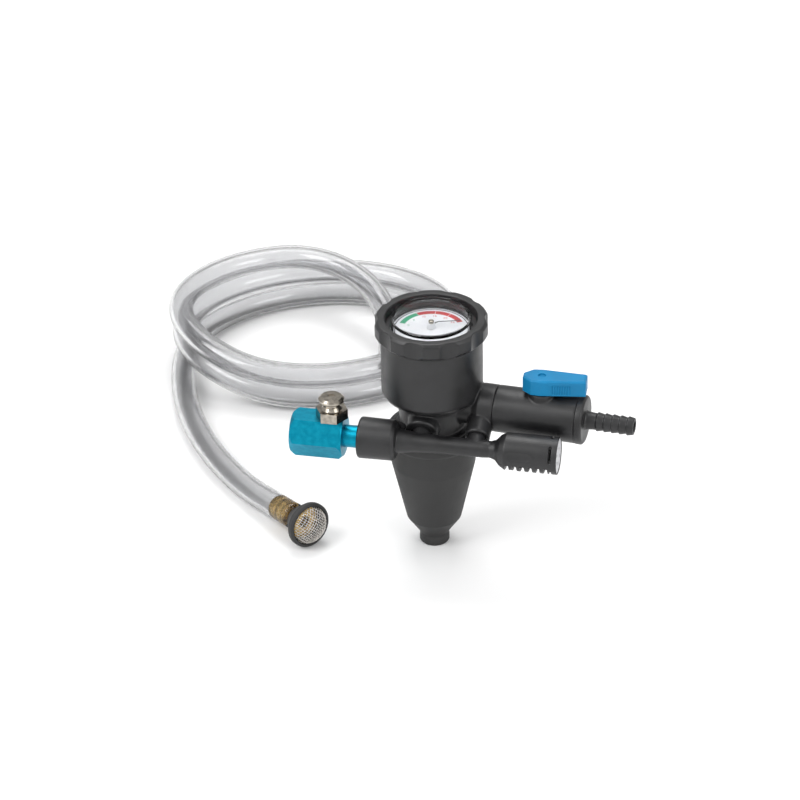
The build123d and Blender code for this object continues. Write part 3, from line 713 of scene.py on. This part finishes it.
VALUE_STEP = 5
GREEN_NUMBERS = 2
for step, angle_deg in enumerate(number_angles):
    ink = finishes["dial_green"] if step < GREEN_NUMBERS else finishes["dial_red"]
    dial_number(step * VALUE_STEP, angle_deg, ink)
print("numbers:", [step * VALUE_STEP for step in range(NUMBER_COUNT)])

# %% [markdown]
# ## Needle, hub and pin
# A light black needle with a bend near its root is pressed into a white hub, and a metal pin stands out
# of the hub. All three turn together. The hub and the pin are turned shapes, so a short list of radii
# and heights is enough, and the needle is a flat outline with a little thickness.

# %% Needle, hub and pin
def lathe(name, profile, sides=40):
    """A turned mesh about Z from (radius, height) points in millimetres, first and last on the axis."""
    shape = bmesh.new()
    rings = []
    for radius, height in profile:
        if radius == 0:
            rings.append([shape.verts.new((0, 0, height * MM))])
            continue
        ring = []
        for step in range(sides):
            angle = 2 * math.pi * step / sides
            place = Vector((radius * math.cos(angle), radius * math.sin(angle), height)) * MM
            ring.append(shape.verts.new(place))
        rings.append(ring)
    for first, second in zip(rings, rings[1:]):
        for step in range(sides):
            following = (step + 1) % sides
            corners = [first[step % len(first)], first[following % len(first)]]
            corners += [second[following % len(second)], second[step % len(second)]]
            shape.faces.new(list(dict.fromkeys(corners)))
    bmesh.ops.recalc_face_normals(shape, faces=shape.faces[:])
    mesh = bpy.data.meshes.new(name)
    shape.to_mesh(mesh)
    shape.free()
    return mesh


dial_mm = dial_top / MM
HUB_PROFILE = [(0, 0.4), (2.4, 0.4), (2.4, 0.6), (2.1, 1.6), (1.75, 2.8), (1.6, 3.0), (0, 3.0)]
PIN_PROFILE = [(0, 3.0), (1.35, 3.0), (1.4, 3.1), (1.4, 4.3), (1.25, 4.5), (0.9, 4.6)]
PIN_PROFILE += [(0.5, 4.55), (0.3, 4.35), (0, 4.3)]
NEEDLE_OUTLINE = [(0, -0.55), (3.9, 2.75), (15.4, 3.35), (15.4, 3.6), (3.75, 3.15), (-0.6, 0.3)]
NEEDLE_REST = math.radians(12.5)
NEEDLE_LOW_MM = 1.9
NEEDLE_HIGH_MM = 2.2


def pointer_piece(name, mesh, finish, smooth=True):
    """A piece that turns with the pointer."""
    mesh.materials.append(finish)
    piece = make_object(name, mesh)
    if not smooth:
        for polygon in mesh.polygons:
            polygon.use_smooth = False
    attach(piece, "pointer")
    return piece


hub = lathe("needle_hub", [(radius, height + dial_mm) for radius, height in HUB_PROFILE])
pin = lathe("needle_pin", [(radius, height + dial_mm) for radius, height in PIN_PROFILE])
needle_shape = bmesh.new()
needle_rings = []
for rise in (NEEDLE_LOW_MM, NEEDLE_HIGH_MM):
    corners = [Vector((x, y, dial_mm + rise)) * MM for x, y in NEEDLE_OUTLINE]
    needle_rings.append([needle_shape.verts.new(corner) for corner in corners])
low_ring, high_ring = needle_rings
for step in range(len(NEEDLE_OUTLINE)):
    following = (step + 1) % len(NEEDLE_OUTLINE)
    needle_shape.faces.new((low_ring[step], low_ring[following], high_ring[following], high_ring[step]))
needle_shape.faces.new(list(reversed(low_ring)))
needle_shape.faces.new(high_ring)
bmesh.ops.triangulate(needle_shape, faces=needle_shape.faces[:])
bmesh.ops.recalc_face_normals(needle_shape, faces=needle_shape.faces[:])
needle_mesh = bpy.data.meshes.new("needle")
needle_shape.to_mesh(needle_mesh)
needle_shape.free()
needle_mesh.transform(Matrix.Rotation(NEEDLE_REST, 4, "Z"))
pointer_piece("needle_hub", hub, finishes["dial_white"])
pointer_piece("needle_pin", pin, finishes["nickel"])
needle = pointer_piece("needle", needle_mesh, finishes["dial_black"], smooth=False)
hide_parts("pointer")
print("needle faces:", len(needle_mesh.polygons))

# %% [markdown]
# ## Pieces kept from the solid model
# Turned and milled metal keeps its crisp edges, so these pieces stay as they are and only take a finish.

# %% Finishes for the kept pieces
KEPT_PIECES = {
    "blue_anodised": ["inlet_coupler"],
    "nickel": ["relief_body", "relief_button", "relief_washer", "valve_ball"],
    "seal_rubber": ["relief_seal", "port_plug_seal", "gauge_seal", "stub_o_rings", "stem_o_ring"],
    "spring_steel": ["relief_spring"],
    "gauge_silver": ["gauge_case"],
    "lens_clear": ["gauge_lens"],
    "brass": ["gauge_stem", "gauge_movement", "bourdon_tube", "venturi_nozzle", "valve_stem", "strainer_barb"],
    "white_nylon": ["ball_seats", "adapter_tube"],
    "grey_felt": ["muffler_felt"],
    "grey_plastic": ["muffler_end_disc"],
    "dial_white": ["dial_face"],
}
for finish, nodes_kept in KEPT_PIECES.items():
    for node in nodes_kept:
        paint(node, finishes[finish])
print("kept pieces:", sum(len(nodes_kept) for nodes_kept in KEPT_PIECES.values()))

# %% [markdown]
# ## Last step

# %% Finish
print("scene finished")
